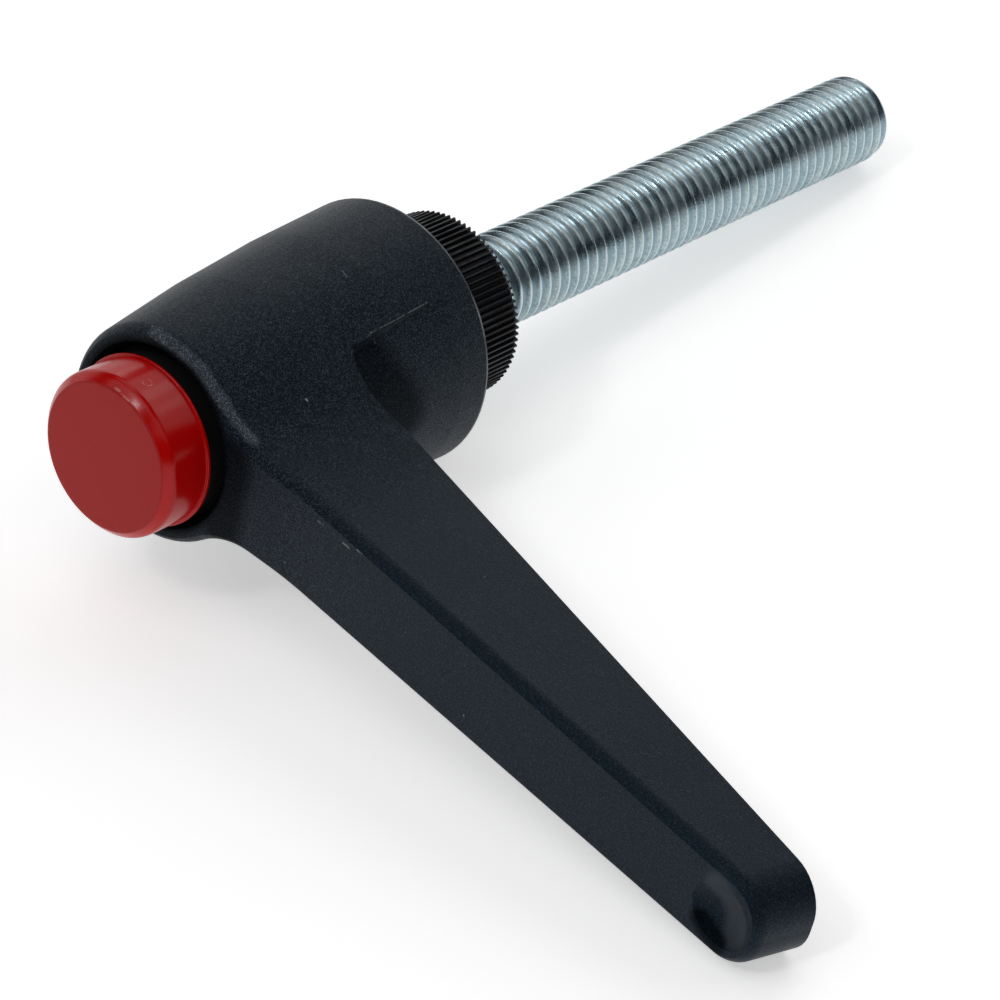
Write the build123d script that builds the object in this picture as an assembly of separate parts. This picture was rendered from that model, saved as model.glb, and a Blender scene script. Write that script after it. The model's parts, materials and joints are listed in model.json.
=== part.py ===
"""Adjustable clamping lever, size 78, with a push button and an M10 x 70 stud.

Millimetres.  Every piece is drawn in the hub's own frame: +Z runs up the hub's
axis towards the push button, +X runs along the arm, and Z = 0 is the hub's base.
At the end the whole lever is laid down as it rests on a table: on the stud's
end, on the rim of the hub's base and on the side of the arm's tip, with +Z up,
+X from the stud towards the button and the origin under the middle of it all.
"""
from build123d import *
from math import atan2, cos, pi, radians, sin, tan
import os

# ---- hub of the lever ----------------------------------------------------
hub_base_r = 13.45
hub_h = 32.2
rim_wall = 1.9              # wall round the button's bore at the hub's top
hub_belly = 0.55            # how far the hub's side bulges past a straight cone
hub_cones = 3               # cones that the bulging side is made of
base_chamfer = 0.3

# ---- arm of the lever ----------------------------------------------------
arm_reach = 79.4            # from the hub's axis to the far end of the arm
arm_root_w = 11.33          # across the arm at the hub's axis, level with its underside
arm_tip_w = 9.66            # across the arm at its far end, at the same level
arm_draft = 1.4             # mould draft of the arm's sides, degrees
arm_top_bend_x = 18.0       # where the top starts to climb
arm_top_slope = 6.7         # degrees
arm_top_bend_r = 40.0
arm_under_z = 16.7          # underside of the arm beside the hub
arm_under_bend_x = 15.4     # where the underside starts to climb
arm_under_slope = 14.5      # degrees
arm_under_bend_r = 12.0
tip_rake = 16.0             # the end face leans back by this, degrees
tip_corner_r = 3.9
neck_r = 8.5                # hollow between the hub and the arm's sides
edge_round = 1.6            # rounding of the upper edges
top_skim = 0.25             # the top is flattened this far into the rounding

# ---- relief of the hub's side under the arm ------------------------------
relief_x = 8.5              # its edge beside the arm's underside, ahead of the hub's axis
relief_lean = 2.0           # its edge leans towards the axis at the foot, degrees
relief_foot = 3.0           # it runs out into the hub's side at this level
relief_depth = 0.5          # at the arm's underside

# ---- thumb dimple near the arm's tip -------------------------------------
dimple_from_end = 5.6       # its middle, back from the arm's far end
dimple_l = 6.8
dimple_w = 5.8
dimple_depth = 1.1

# ---- fluted boss of the insert -------------------------------------------
boss_r = 9.5
boss_below = 9.1            # how much of the boss stands out of the hub
boss_inside = 3.0           # how much of it sits in the hub
boss_gap = 0.3              # between the boss and its pocket in the hub
flute_count = 88
flute_depth = 0.38
flute_crest = 0.24          # share of each pitch that the crest takes
flute_floor = 0.34          # share of each pitch that the groove's floor takes

# ---- toothing between the insert and the lever ---------------------------
tooth_count = 24
tooth_tip_r = 7.9
tooth_root_r = 7.15
tooth_h = 4.0
tooth_crest = 0.26          # share of each pitch that a tooth's crest takes
tooth_floor = 0.30          # share of each pitch that the gap's floor takes
tooth_gap = 0.12            # play all round each tooth
tooth_free = 0.5            # the teeth part this far when the button is down
web_gap = 0.3               # between the insert's teeth and the web of the hub

# ---- spigot of the insert, guided in the hub's web -----------------------
spigot_r = 4.0
spigot_below_rim = 2.4      # top of the spigot, down from the hub's upper rim
guide_gap = 0.05
web_t = 7.7                 # thickness of the hub's web round the spigot

# ---- stud, M10 -----------------------------------------------------------
stud_crest_r = 4.87         # low in the tolerance of a 6g thread
stud_length = 70.0          # below the boss
stud_held = 13.5            # screwed into the boss
stud_end_chamfer = 0.9
stud_hole_extra = 1.0
stud_top_chamfer = 0.5
thread_depth = 0.36         # from the crests of the thread to its pitch line
thread_gap = 0.03
countersink_gap = 0.18      # the tapped hole's mouth is this much wider than the thread's crests

# ---- retaining screw, M6 socket head -------------------------------------
screw_r = 3.0
screw_length = 16.0
screw_head_r = 5.0
screw_head_h = 6.0
screw_key = 5.0             # across the flats of its socket
screw_key_depth = 3.0
screw_end_chamfer = 0.5
screw_hole_extra = 2.0

# ---- thrust washer and return spring -------------------------------------
washer_t = 1.0
washer_hole_gap = 0.15
washer_air = 0.55           # between the washer and the button's skirt
spring_wire = 1.0
spring_mean_r = 5.2
spring_turns = 4.5
spring_sides = 6            # flats that stand for the round section of the wire
spring_steps = 20           # straight stretches in each turn of the wire
spring_air = 1.2            # between the spring and the hub

# ---- push button ---------------------------------------------------------
button_r = 8.1
button_flange = 0.25        # the lower part of the button is wider by this
button_flange_rise = 1.4    # its shoulder, up from the hub's rim
button_height = 13.95
button_wall = 1.4
button_front_t = 2.7
button_chamfer = 0.85
button_gap = 0.3            # between the button and its bore
bore_chamfer = 0.45
stop_gap = 0.05
socket_gap = 0.03           # the button's inner ring grips the screw's head
socket_wall = 1.4
socket_clear = 0.4          # between that ring and the washer

# ---- levels and radii that follow from the sizes above -------------------
teeth_top = boss_inside + tooth_h
web_bottom = teeth_top + web_gap
web_top = web_bottom + web_t
spigot_top = hub_h - spigot_below_rim
washer_bottom = spigot_top - washer_t
head_top = spigot_top + screw_head_h
button_front = head_top + button_front_t
button_bottom = button_front - button_height
press_travel = tooth_h + tooth_free
stop_level = button_bottom - press_travel - stop_gap
flange_r = button_r + button_flange
button_bore_r = flange_r + button_gap
hub_top_r = button_bore_r + rim_wall
skirt_inner_r = flange_r - button_wall
washer_r = skirt_inner_r - washer_air
chamber_r = spring_mean_r + spring_wire / 2 + spring_air
pocket_r = boss_r + boss_gap
stud_end = -boss_below - stud_length
stud_held_r = stud_crest_r - thread_depth
far_x = arm_reach + 20      # well past the arm's end
far_z = hub_h + arm_reach   # well above the arm


def rod(radius, bottom, top):
    """A round rod between two levels."""
    return Pos(0, 0, bottom) * Cylinder(radius, top - bottom, align=(Align.CENTER, Align.CENTER, Align.MIN))


def tube(outer_r, inner_r, bottom, top):
    """A plain tube between two levels."""
    return rod(outer_r, bottom, top) - rod(inner_r, bottom, top)


def wheel_outline(count, crest_r, floor_r, crest_share, floor_share):
    """Face of a toothed wheel whose teeth have flat crests and straight flanks."""
    pitch = 2 * pi / count
    half_crest = crest_share * pitch / 2
    half_base = (1 - floor_share) * pitch / 2
    corners = []
    for tooth in range(count):
        middle = tooth * pitch
        for radius, offset in (
            (floor_r, -half_base),
            (crest_r, -half_crest),
            (crest_r, half_crest),
            (floor_r, half_base),
        ):
            angle = middle + offset
            corners.append((radius * cos(angle), radius * sin(angle)))
    return make_face(Polyline(*corners, close=True))


def side_slab(corners, bend_x=None, bend_r=None):
    """A slab across the whole arm, drawn in the X-Z plane and eased at its bend."""
    outline = make_face(Polyline(*corners, close=True))
    if bend_x is not None:
        bends = [v for v in outline.vertices() if abs(v.X - bend_x) < 0.01]
        outline = fillet(bends, bend_r)
    return extrude(Plane.XZ * outline, hub_base_r + neck_r, both=True)


def underside_z(x):
    """Height of the arm's climbing underside."""
    return arm_under_z + (x - arm_under_bend_x) * tan(radians(arm_under_slope))


def top_z(x, level):
    """Height of the arm's climbing top that leaves the hub at the given level."""
    return level + (x - arm_top_bend_x) * tan(radians(arm_top_slope))


def above_arm(level):
    """Everything above the lever's top when the hub ends at the given level."""
    corners = [
        (-far_x, level),
        (arm_top_bend_x, level),
        (far_x, top_z(far_x, level)),
        (far_x, far_z),
        (-far_x, far_z),
    ]
    return side_slab(corners, arm_top_bend_x, arm_top_bend_r)


def hub_radius(z):
    """Radius of the hub's bulging side."""
    share = z / hub_h
    return hub_base_r + (hub_top_r - hub_base_r) * share + 4 * hub_belly * share * (1 - share)


def hub_blank(top):
    """The hub as a solid of revolution: cones follow its bulging side, the last one runs on to the given level."""
    levels = [hub_h * cone / hub_cones for cone in range(hub_cones)]
    levels[0] = base_chamfer
    side = [(hub_radius(level), level) for level in levels]
    last_r, last_z = side[-1]
    narrowing = (last_r - hub_top_r) / (hub_h - last_z)
    top_r = last_r - narrowing * (top - last_z)
    outline = Polyline((side[0][0] - base_chamfer, 0), *side, (top_r, top), (0, top), (0, 0), close=True)
    return revolve(Plane.XZ * make_face(outline), Axis.Z)


def behind_relief():
    """Everything behind the relief's edge."""
    lean = tan(radians(relief_lean))
    above_z = arm_under_z + 1
    foot_x = relief_x - arm_under_z * lean
    return side_slab([(-far_x, 0), (foot_x, 0), (foot_x + above_z * lean, above_z), (-far_x, above_z)])


def relief_core():
    """A cone that leaves the hub's bulging side at the relief's foot and runs inside it further up."""
    foot_r = hub_radius(relief_foot)
    narrowing = (foot_r - hub_radius(arm_under_z) + relief_depth) / (arm_under_z - relief_foot)
    base_r = foot_r + narrowing * relief_foot
    top_r = base_r - narrowing * hub_h
    return Cone(base_r, top_r, hub_h, align=(Align.CENTER, Align.CENTER, Align.MIN))


def lever_form():
    """Outside of the moulding: hub and arm, blended, rounded and flattened."""
    over = hub_h + top_skim
    tall = top_z(arm_reach, over) + 2
    overrun = tip_corner_r
    narrowing = (arm_root_w - arm_tip_w) / 2 / arm_reach
    root_half = arm_root_w / 2 + arm_under_z * tan(radians(arm_draft))
    end_half = root_half - narrowing * (arm_reach + overrun)
    plan = make_face(
        Polyline(
            (0, -root_half),
            (arm_reach + overrun, -end_half),
            (arm_reach + overrun, end_half),
            (0, root_half),
            close=True,
        )
    )
    hub = hub_blank(tall)
    form = hub + extrude(plan, tall, taper=arm_draft)
    necks = [
        edge
        for edge in form.edges()
        if abs((edge % 0.5).Z) > 0.7 and 0 < edge.center().X < hub_base_r and abs(edge.center().Y) > 1
    ]
    form = fillet(necks, neck_r)

    under_end = underside_z(arm_reach)
    rake = tan(radians(tip_rake))
    end_foot = arm_reach + under_end * rake
    under = side_slab(
        [
            (-far_x, -1),
            (far_x, -1),
            (far_x, underside_z(far_x)),
            (arm_under_bend_x, arm_under_z),
            (-far_x, arm_under_z),
        ],
        arm_under_bend_x,
        arm_under_bend_r,
    )
    beyond = side_slab([(end_foot, 0), (end_foot - far_z * rake, far_z), (2 * far_x, far_z), (2 * far_x, 0)])
    kept = hub & (behind_relief() + relief_core())
    form = form - (under - kept) - above_arm(over) - beyond

    corners = [
        edge
        for edge in form.edges()
        if abs((edge % 0.5).Z) > 0.7 and edge.center().X > arm_reach - 6 and abs(edge.center().Y) > 1
    ]
    tip_half = arm_tip_w / 2 - (top_z(arm_reach, over) - arm_under_z) * tan(radians(arm_draft))
    form = fillet(corners, min(tip_corner_r, 0.92 * tip_half))
    form = fillet(upper_outline(form), edge_round)
    return form - above_arm(hub_h)


def upper_outline(form):
    """Edges round the lever's top: each belongs to only one of the top's faces."""
    upper = [face for face in form.faces() if face.normal_at(face.center()).Z > 0.9 and face.center().Z > hub_h - 1]
    edges = [edge for face in upper for edge in face.edges()]
    return [edge for edge in edges if sum(edge.is_same(other) for other in edges) == 1]


def thumb_dimple():
    """Shallow oval bowl in the arm's top."""
    middle_x = arm_reach - dimple_from_end
    half_l = dimple_l / 2
    ball_r = (half_l**2 + dimple_depth**2) / (2 * dimple_depth)
    ball = scale(Sphere(ball_r), by=(1, dimple_w / dimple_l, 1))
    return Pos(middle_x, 0, top_z(middle_x, hub_h)) * Rot(0, -arm_top_slope, 0) * Pos(0, 0, ball_r - dimple_depth) * ball


def lever_handle():
    """The lever: one moulding with a toothed socket, a web and a button bore."""
    lever = lever_form() - thumb_dimple()
    lever -= rod(pocket_r, 0, boss_inside)
    socket = wheel_outline(
        tooth_count, tooth_tip_r + tooth_gap, tooth_root_r + tooth_gap, tooth_crest + 0.1, tooth_floor - 0.1
    )
    lever -= extrude(Pos(0, 0, boss_inside) * socket, tooth_h + web_gap)
    lever -= rod(spigot_r + guide_gap, web_bottom, web_top)
    lever -= rod(chamber_r, web_top, stop_level)
    lever -= rod(button_bore_r, stop_level, hub_h)
    mouth = [
        edge
        for edge in lever.edges().filter_by(GeomType.CIRCLE)
        if abs(edge.center().Z - hub_h) < 0.01 and abs(edge.radius - button_bore_r) < 0.01
    ]
    return chamfer(mouth, bore_chamfer)


def toothed_insert():
    """Steel insert: fluted boss, collar of teeth and spigot, tapped at both ends."""
    flutes = wheel_outline(flute_count, boss_r, boss_r - flute_depth, flute_crest, flute_floor)
    boss = extrude(Pos(0, 0, -boss_below) * flutes, boss_below + boss_inside)
    teeth = wheel_outline(tooth_count, tooth_tip_r, tooth_root_r, tooth_crest, tooth_floor)
    collar = extrude(Pos(0, 0, boss_inside) * teeth, tooth_h)
    insert = boss + collar + rod(spigot_r, teeth_top, spigot_top)
    bore_r = stud_held_r + thread_gap
    mouth_r = stud_crest_r + countersink_gap
    insert -= rod(bore_r, -boss_below, stud_held - boss_below + stud_hole_extra)
    insert -= Pos(0, 0, -boss_below) * Cone(
        mouth_r, bore_r, mouth_r - bore_r, align=(Align.CENTER, Align.CENTER, Align.MIN)
    )
    insert -= rod(screw_r + thread_gap, spigot_top - screw_length - screw_hole_extra, spigot_top)
    return insert


def threaded_stud():
    """Stud: over the crests of its thread outside, at the thread's pitch line where it is held."""
    free = rod(stud_crest_r, stud_end, -boss_below)
    free = chamfer(free.edges().filter_by(GeomType.CIRCLE).sort_by(Axis.Z)[0], stud_end_chamfer)
    held = rod(stud_held_r, -boss_below, stud_held - boss_below)
    return free + chamfer(held.edges().filter_by(GeomType.CIRCLE).sort_by(Axis.Z)[-1], stud_top_chamfer)


def retaining_screw():
    """Socket head screw, over the crests of its thread."""
    shank = rod(screw_r, spigot_top - screw_length, spigot_top)
    shank = chamfer(shank.edges().filter_by(GeomType.CIRCLE).sort_by(Axis.Z)[0], screw_end_chamfer)
    head = rod(screw_head_r, spigot_top, head_top)
    key = RegularPolygon(screw_key / 2, 6, major_radius=False)
    return shank + head - extrude(Pos(0, 0, head_top - screw_key_depth) * key, screw_key_depth)


def thrust_washer():
    """Washer round the spigot: the spring pushes it up against the screw's head."""
    return tube(washer_r, spigot_r + washer_hole_gap, washer_bottom, spigot_top)


def return_spring():
    """Compression spring between the hub's web and the washer, its ends ground flat."""
    count = round(spring_turns * spring_steps)
    rise = (washer_bottom - web_top) / count
    turn = 2 * pi / spring_steps
    corners = [
        (spring_mean_r * cos(step * turn), spring_mean_r * sin(step * turn), web_top + step * rise)
        for step in range(count + 1)
    ]
    path = Polyline(*corners)
    section = Plane(origin=path @ 0, z_dir=path % 0) * RegularPolygon(spring_wire / 2, spring_sides)
    return sweep(section, path=path, transition=Transition.RIGHT) & rod(chamber_r, web_top, washer_bottom)


def push_button():
    """Button: a cup with a shouldered skirt and a ring that grips the screw's head."""
    shoulder = hub_h + button_flange_rise
    outline = Polyline(
        (0, button_front),
        (button_r - button_chamfer, button_front),
        (button_r, button_front - button_chamfer),
        (button_r, shoulder),
        (flange_r, shoulder),
        (flange_r, button_bottom),
        (skirt_inner_r, button_bottom),
        (skirt_inner_r, head_top),
        (0, head_top),
        close=True,
    )
    cup = revolve(Plane.XZ * make_face(outline), Axis.Z)
    inner_r = screw_head_r + socket_gap
    return cup + tube(inner_r + socket_wall, inner_r, spigot_top + socket_clear, head_top)


def resting_place(lever):
    """Location that lays the lever down on the stud's end, the hub's rim and the arm's tip."""
    stud_edge = stud_end + stud_end_chamfer
    tilt = atan2(hub_base_r - stud_crest_r, -stud_edge)
    along = (cos(tilt), 0, sin(tilt))
    lying = Plane(origin=(0, 0, 0), x_dir=(0, 1, 0), z_dir=along).location
    table_z = -hub_base_r * cos(tilt)
    tip = lever & side_slab([(arm_reach - 12, 0), (far_x, 0), (far_x, far_z), (arm_reach - 12, far_z)])
    low, high = 0.0, 30.0
    for _ in range(24):
        roll = (low + high) / 2
        if (lying * Rot(0, 0, -roll) * tip).bounding_box().min.Z > table_z:
            low = roll
        else:
            high = roll
    return lying * Rot(0, 0, -high)


pieces = {
    "lever_handle": lever_handle(),
    "push_button": push_button(),
    "toothed_insert": toothed_insert(),
    "threaded_stud": threaded_stud(),
    "retaining_screw": retaining_screw(),
    "thrust_washer": thrust_washer(),
    "return_spring": return_spring(),
}

rest = resting_place(pieces["lever_handle"])
whole = Compound([rest * piece for piece in pieces.values()]).bounding_box()
laid_down = Pos(-whole.center().X, -whole.center().Y, -whole.min.Z) * rest

os.makedirs("parts", exist_ok=True)
for name, piece in pieces.items():
    laid = laid_down * piece
    laid.label = name
    export_step(laid, f"parts/{name}.step")
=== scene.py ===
"""Adjustable clamping lever: finish and fine form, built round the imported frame.

Metres, in the frame of the part.  The hub's own frame, which most of the sizes below
refer to, has Z up the hub's axis towards the push button, X along the arm and its
origin in the middle of the hub's base.  What the materials do at a place is given in
the hub's frame in millimetres.
"""
import json
from math import ceil, pi, radians

import bpy
import numpy as np
from bpy.props import FloatProperty, FloatVectorProperty, IntProperty, PointerProperty
from bpy.types import Operator, Panel, PropertyGroup
from mathutils import Euler, Matrix, Vector


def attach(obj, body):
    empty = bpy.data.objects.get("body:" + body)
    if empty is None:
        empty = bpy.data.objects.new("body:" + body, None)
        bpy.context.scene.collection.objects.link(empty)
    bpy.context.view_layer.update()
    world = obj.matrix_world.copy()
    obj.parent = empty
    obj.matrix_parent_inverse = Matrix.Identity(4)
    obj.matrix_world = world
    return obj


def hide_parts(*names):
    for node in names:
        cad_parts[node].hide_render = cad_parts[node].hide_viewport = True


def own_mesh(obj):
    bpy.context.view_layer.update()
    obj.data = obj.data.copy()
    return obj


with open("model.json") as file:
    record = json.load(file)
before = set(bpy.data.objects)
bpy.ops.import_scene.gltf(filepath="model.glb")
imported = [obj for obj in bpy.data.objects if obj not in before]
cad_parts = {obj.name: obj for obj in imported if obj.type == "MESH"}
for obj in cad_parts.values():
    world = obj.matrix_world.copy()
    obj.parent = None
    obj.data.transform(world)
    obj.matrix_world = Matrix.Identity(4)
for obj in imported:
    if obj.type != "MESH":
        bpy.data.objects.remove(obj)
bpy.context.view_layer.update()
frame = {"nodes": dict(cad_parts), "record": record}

bl_info = {
    "name": "Clamping lever",
    "version": (1, 0, 0),
    "blender": (4, 5, 0),
    "location": "3D View > Sidebar > Clamping lever",
    "description": "Dresses a clamping lever: moulded arm, push button, fluted boss and threaded stud",
    "category": "Object",
}

MM = 0.001


# ---- sizes that are used by more than one piece, in the hub's frame --------
HUB_HEIGHT = 32.2 * MM
BOSS_BELOW = 9.1 * MM       # how far the fluted boss stands out under the hub
BOSS_RADIUS = 9.5 * MM      # over the crests of the flutes
BUTTON_FRONT = 38.5 * MM
SPIGOT_TOP = 29.8 * MM


def hub_matrix():
    """Matrix from the hub's frame to the frame of the part, both in metres."""
    mounts = {mount["name"]: mount for mount in frame["record"]["mounts"]}
    stud, seat = mounts["stud"], mounts["seat"]
    up = -Vector(stud["axis"]).normalized()
    foot_highlight = Vector(stud["pos_m"]) + up * (stud["dims"]["length_mm"] * MM / 2)
    across = (Vector(seat["pos_m"]) - foot_highlight).normalized()
    along = across.cross(up)
    matrix = Matrix((along, across, up)).transposed().to_4x4()
    matrix.translation = foot_highlight + up * BOSS_BELOW
    return matrix


HUB = hub_matrix()


# ---- meshes ---------------------------------------------------------------
def mesh_piece(name, corners, faces, sharp_angle=radians(35)):
    """A smooth piece from corners in the hub's frame."""
    corners = np.asarray(corners, float)
    placed = corners @ np.array(HUB.to_3x3()).T + np.array(HUB.translation)
    mesh = bpy.data.meshes.new(name)
    mesh.from_pydata(placed.tolist(), [], faces)
    mesh.polygons.foreach_set("use_smooth", [True] * len(mesh.polygons))
    mesh.set_sharp_from_angle(angle=sharp_angle)
    piece = bpy.data.objects.new(name, mesh)
    bpy.context.scene.collection.objects.link(piece)
    return piece


def grid_faces(rows, columns, closed=False):
    """Quads of a grid that is stored row by row, with each row open or closed to a ring."""
    faces = []
    for row in range(rows - 1):
        near, far = row * columns, (row + 1) * columns
        for column in range(columns if closed else columns - 1):
            after = (column + 1) % columns
            faces.append((near + column, near + after, far + after, far + column))
    return faces


def round_axis(radii, angles, heights):
    """Points at these distances from the hub's axis, turns about it and heights."""
    points = np.broadcast_arrays(radii * np.cos(angles), radii * np.sin(angles), heights)
    return np.stack(points, axis=-1)


def rounded_profile(corners, steps=5):
    """Closed outline of (radius, height) points whose corners are rounded by their third value."""
    points = []
    for index, (radius, height, rounding) in enumerate(corners):
        corner = np.array((radius, height))
        if rounding == 0:
            points.append(corner)
            continue
        before = np.array(corners[index - 1][:2]) - corner
        after = np.array(corners[(index + 1) % len(corners)][:2]) - corner
        before /= np.linalg.norm(before)
        after /= np.linalg.norm(after)
        half_angle = np.arccos(before @ after) / 2
        setback = rounding / np.tan(half_angle)
        middle = (before + after) / np.linalg.norm(before + after)
        centre = corner + middle * rounding / np.sin(half_angle)
        start = corner + before * setback - centre
        end = corner + after * setback - centre
        turn = pi - 2 * half_angle
        for step in range(steps + 1):
            share = step / steps
            spoke = np.sin((1 - share) * turn) * start + np.sin(share * turn) * end
            points.append(centre + spoke / np.sin(turn))
    return np.array(points)


def turned_piece(name, profile, segments):
    """A piece turned from a closed outline whose first and last points lie on the hub's axis."""
    angles = np.arange(segments) * 2 * pi / segments
    inner = profile[1:-1]
    rings = round_axis(inner[:, :1], angles, inner[:, 1:]).reshape(-1, 3)
    corners = [*rings.tolist(), (0, 0, profile[0, 1]), (0, 0, profile[-1, 1])]
    faces = [tuple(reversed(face)) for face in grid_faces(len(inner), segments, closed=True)]
    first, last = len(rings), len(rings) + 1
    final_ring = len(rings) - segments
    for segment in range(segments):
        after = (segment + 1) % segments
        faces.append((first, segment, after))
        faces.append((last, final_ring + after, final_ring + segment))
    return mesh_piece(name, corners, faces)


def add_piece(piece, body, material, slot, *nodes):
    """Gives a new piece its body, its material and the nodes that it stands for."""
    piece.data.materials.append(material)
    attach(piece, body)
    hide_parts(*nodes)


def finish_cad(node, material):
    """Gives a CAD node its material."""
    mesh = frame["nodes"][node].data
    mesh.materials.clear()
    mesh.materials.append(material)


# ---- shader nodes ---------------------------------------------------------
def fill_input(tree, socket, value):
    """Links a socket to an input, or gives the input a plain value."""
    if isinstance(value, bpy.types.NodeSocket):
        tree.links.new(value, socket)
    else:
        socket.default_value = value


def fill_inputs(tree, node, **values):
    """Fills a node's inputs, which are named with _ for a space."""
    for name, value in values.items():
        fill_input(tree, node.inputs[name.replace("_", " ")], value)


def add_node(tree, kind, inputs=None, **settings):
    """A node with its settings, and with values or links on its inputs."""
    made = tree.nodes.new(kind)
    for name, value in settings.items():
        setattr(made, name, value)
    for name, value in (inputs or {}).items():
        fill_input(tree, made.inputs[name], value)
    return made


def calculate(tree, operation, *values, clamp=False):
    """Result of a Math operation that takes in the values one after another."""
    result = values[0]
    for value in values[1:]:
        inputs = {0: result, 1: value}
        node = add_node(tree, "ShaderNodeMath", inputs, operation=operation, use_clamp=clamp)
        result = node.outputs[0]
    return result


def times(tree, *values):
    """Product of values, such as a mask and its share."""
    return calculate(tree, "MULTIPLY", *values)


def outside(tree, mask):
    """1 where a mask is 0, and 0 where it is 1."""
    return calculate(tree, "SUBTRACT", 1.0, mask)


def grade(tree, mask, low, high):
    """Low where a mask is 0, high where it is 1."""
    return calculate(tree, "ADD", times(tree, mask, high - low), low)


def ramp(tree, value, low, high):
    """0 below low, 1 above high and smooth in between."""
    inputs = {"Value": value, "From Min": low, "From Max": high}
    node = add_node(tree, "ShaderNodeMapRange", inputs, interpolation_type="SMOOTHSTEP")
    return node.outputs["Result"]


def blend_colours(tree, share, first, second):
    """Mix of two colours, for which a Mix node has the inputs 6 and 7 and the output 2."""
    return add_node(tree, "ShaderNodeMix", {0: share, 6: first, 7: second}, data_type="RGBA").outputs[2]


def add_bump(tree, height, distance):
    """Normal from a height, with the distance in metres that a height of 1 stands for."""
    return add_node(tree, "ShaderNodeBump", {"Height": height, "Distance": distance}).outputs["Normal"]


def new_material(name):
    """A material, its node tree and its Principled shader."""
    material = bpy.data.materials.new(name)
    material.use_nodes = True
    return material, material.node_tree, material.node_tree.nodes["Principled BSDF"]


# ---- shared shader groups -------------------------------------------------
FLOAT, VECTOR = "NodeSocketFloat", "NodeSocketVector"
SOFT_EDGE = (0.4, 1.0)      # shares of a mark's width over which it fades out
RAGGED_EDGE = 0.08          # how softly the noise breaks a stroke up
RAGGED_CELLS = 3.0          # cells of that noise in a millimetre
COARSE_CELLS = 0.4          # cells of the grain's coarse noise for one of its fine noise
FINE_SHARE = 0.8
COARSE_SHARE = 0.2


def new_group(name, inputs, outputs):
    """A shader node group with its sockets, and its input and output nodes."""
    tree = bpy.data.node_groups.new(name, "ShaderNodeTree")
    for label, kind, default in inputs:
        socket = tree.interface.new_socket(label, in_out="INPUT", socket_type=kind)
        if default is not None:
            socket.default_value = default
    for label, kind in outputs:
        tree.interface.new_socket(label, in_out="OUTPUT", socket_type=kind)
    return tree, tree.nodes.new("NodeGroupInput").outputs, tree.nodes.new("NodeGroupOutput").inputs


def build_hub_place():
    """Group: place on the piece in the hub's frame in millimetres, distance from its axis and height."""
    outputs = [("Place", VECTOR), ("Radius", FLOAT), ("Height", FLOAT)]
    tree, _, out = new_group("hub_place", [], outputs)
    local = add_node(tree, "ShaderNodeTexCoord").outputs["Object"]
    inputs = {
        "Vector": local,
        "Location": HUB.translation,
        "Rotation": HUB.to_euler(),
        "Scale": (MM, MM, MM),
    }
    place = add_node(tree, "ShaderNodeMapping", inputs, vector_type="TEXTURE").outputs["Vector"]
    parts = add_node(tree, "ShaderNodeSeparateXYZ", {"Vector": place}).outputs
    flat = add_node(tree, "ShaderNodeCombineXYZ", {"X": parts["X"], "Y": parts["Y"]}).outputs["Vector"]
    radius = add_node(tree, "ShaderNodeVectorMath", {0: flat}, operation="LENGTH").outputs["Value"]
    tree.links.new(place, out["Place"])
    tree.links.new(radius, out["Radius"])
    tree.links.new(parts["Z"], out["Height"])


def build_specks():
    """Group: sparse small specks, such as dust or glints of a grain."""
    inputs = [("Place", VECTOR, None), ("Spacing", FLOAT, 1.0), ("Size", FLOAT, 0.1), ("Share", FLOAT, 0.3)]
    tree, given, out = new_group("specks", inputs, [("Mask", FLOAT)])
    scale = calculate(tree, "DIVIDE", 1.0, given["Spacing"])
    cells = add_node(tree, "ShaderNodeTexVoronoi", {"Vector": given["Place"], "Scale": scale}).outputs
    lot = add_node(tree, "ShaderNodeSeparateColor", {"Color": cells["Color"]}).outputs[0]
    chosen = calculate(tree, "LESS_THAN", lot, given["Share"])
    size = calculate(tree, "DIVIDE", given["Size"], given["Spacing"])
    distance = calculate(tree, "DIVIDE", cells["Distance"], size)
    speck = outside(tree, ramp(tree, distance, *SOFT_EDGE))
    tree.links.new(times(tree, chosen, speck), out["Mask"])


def build_grain():
    """Group: moulded or blasted grain as a height, with its own cloudy variation."""
    inputs = [("Place", VECTOR, None), ("Size", FLOAT, 0.25), ("Cloud Size", FLOAT, 8.0)]
    tree, given, out = new_group("grain", inputs, [("Height", FLOAT), ("Cloud", FLOAT)])

    def noise(cells, size, **settings):
        """Noise with this many cells in one of the group's sizes."""
        scale = calculate(tree, "DIVIDE", cells, given[size])
        inputs = {"Vector": given["Place"], "Scale": scale, **settings}
        return add_node(tree, "ShaderNodeTexNoise", inputs).outputs["Fac"]

    fine = noise(1.0, "Size", Detail=2.0, Roughness=0.6)
    coarse = noise(COARSE_CELLS, "Size", Detail=1.0)
    height = calculate(tree, "ADD", times(tree, fine, FINE_SHARE), times(tree, coarse, COARSE_SHARE))
    tree.links.new(height, out["Height"])
    tree.links.new(noise(1.0, "Cloud Size", Detail=3.0), out["Cloud"])


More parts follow.
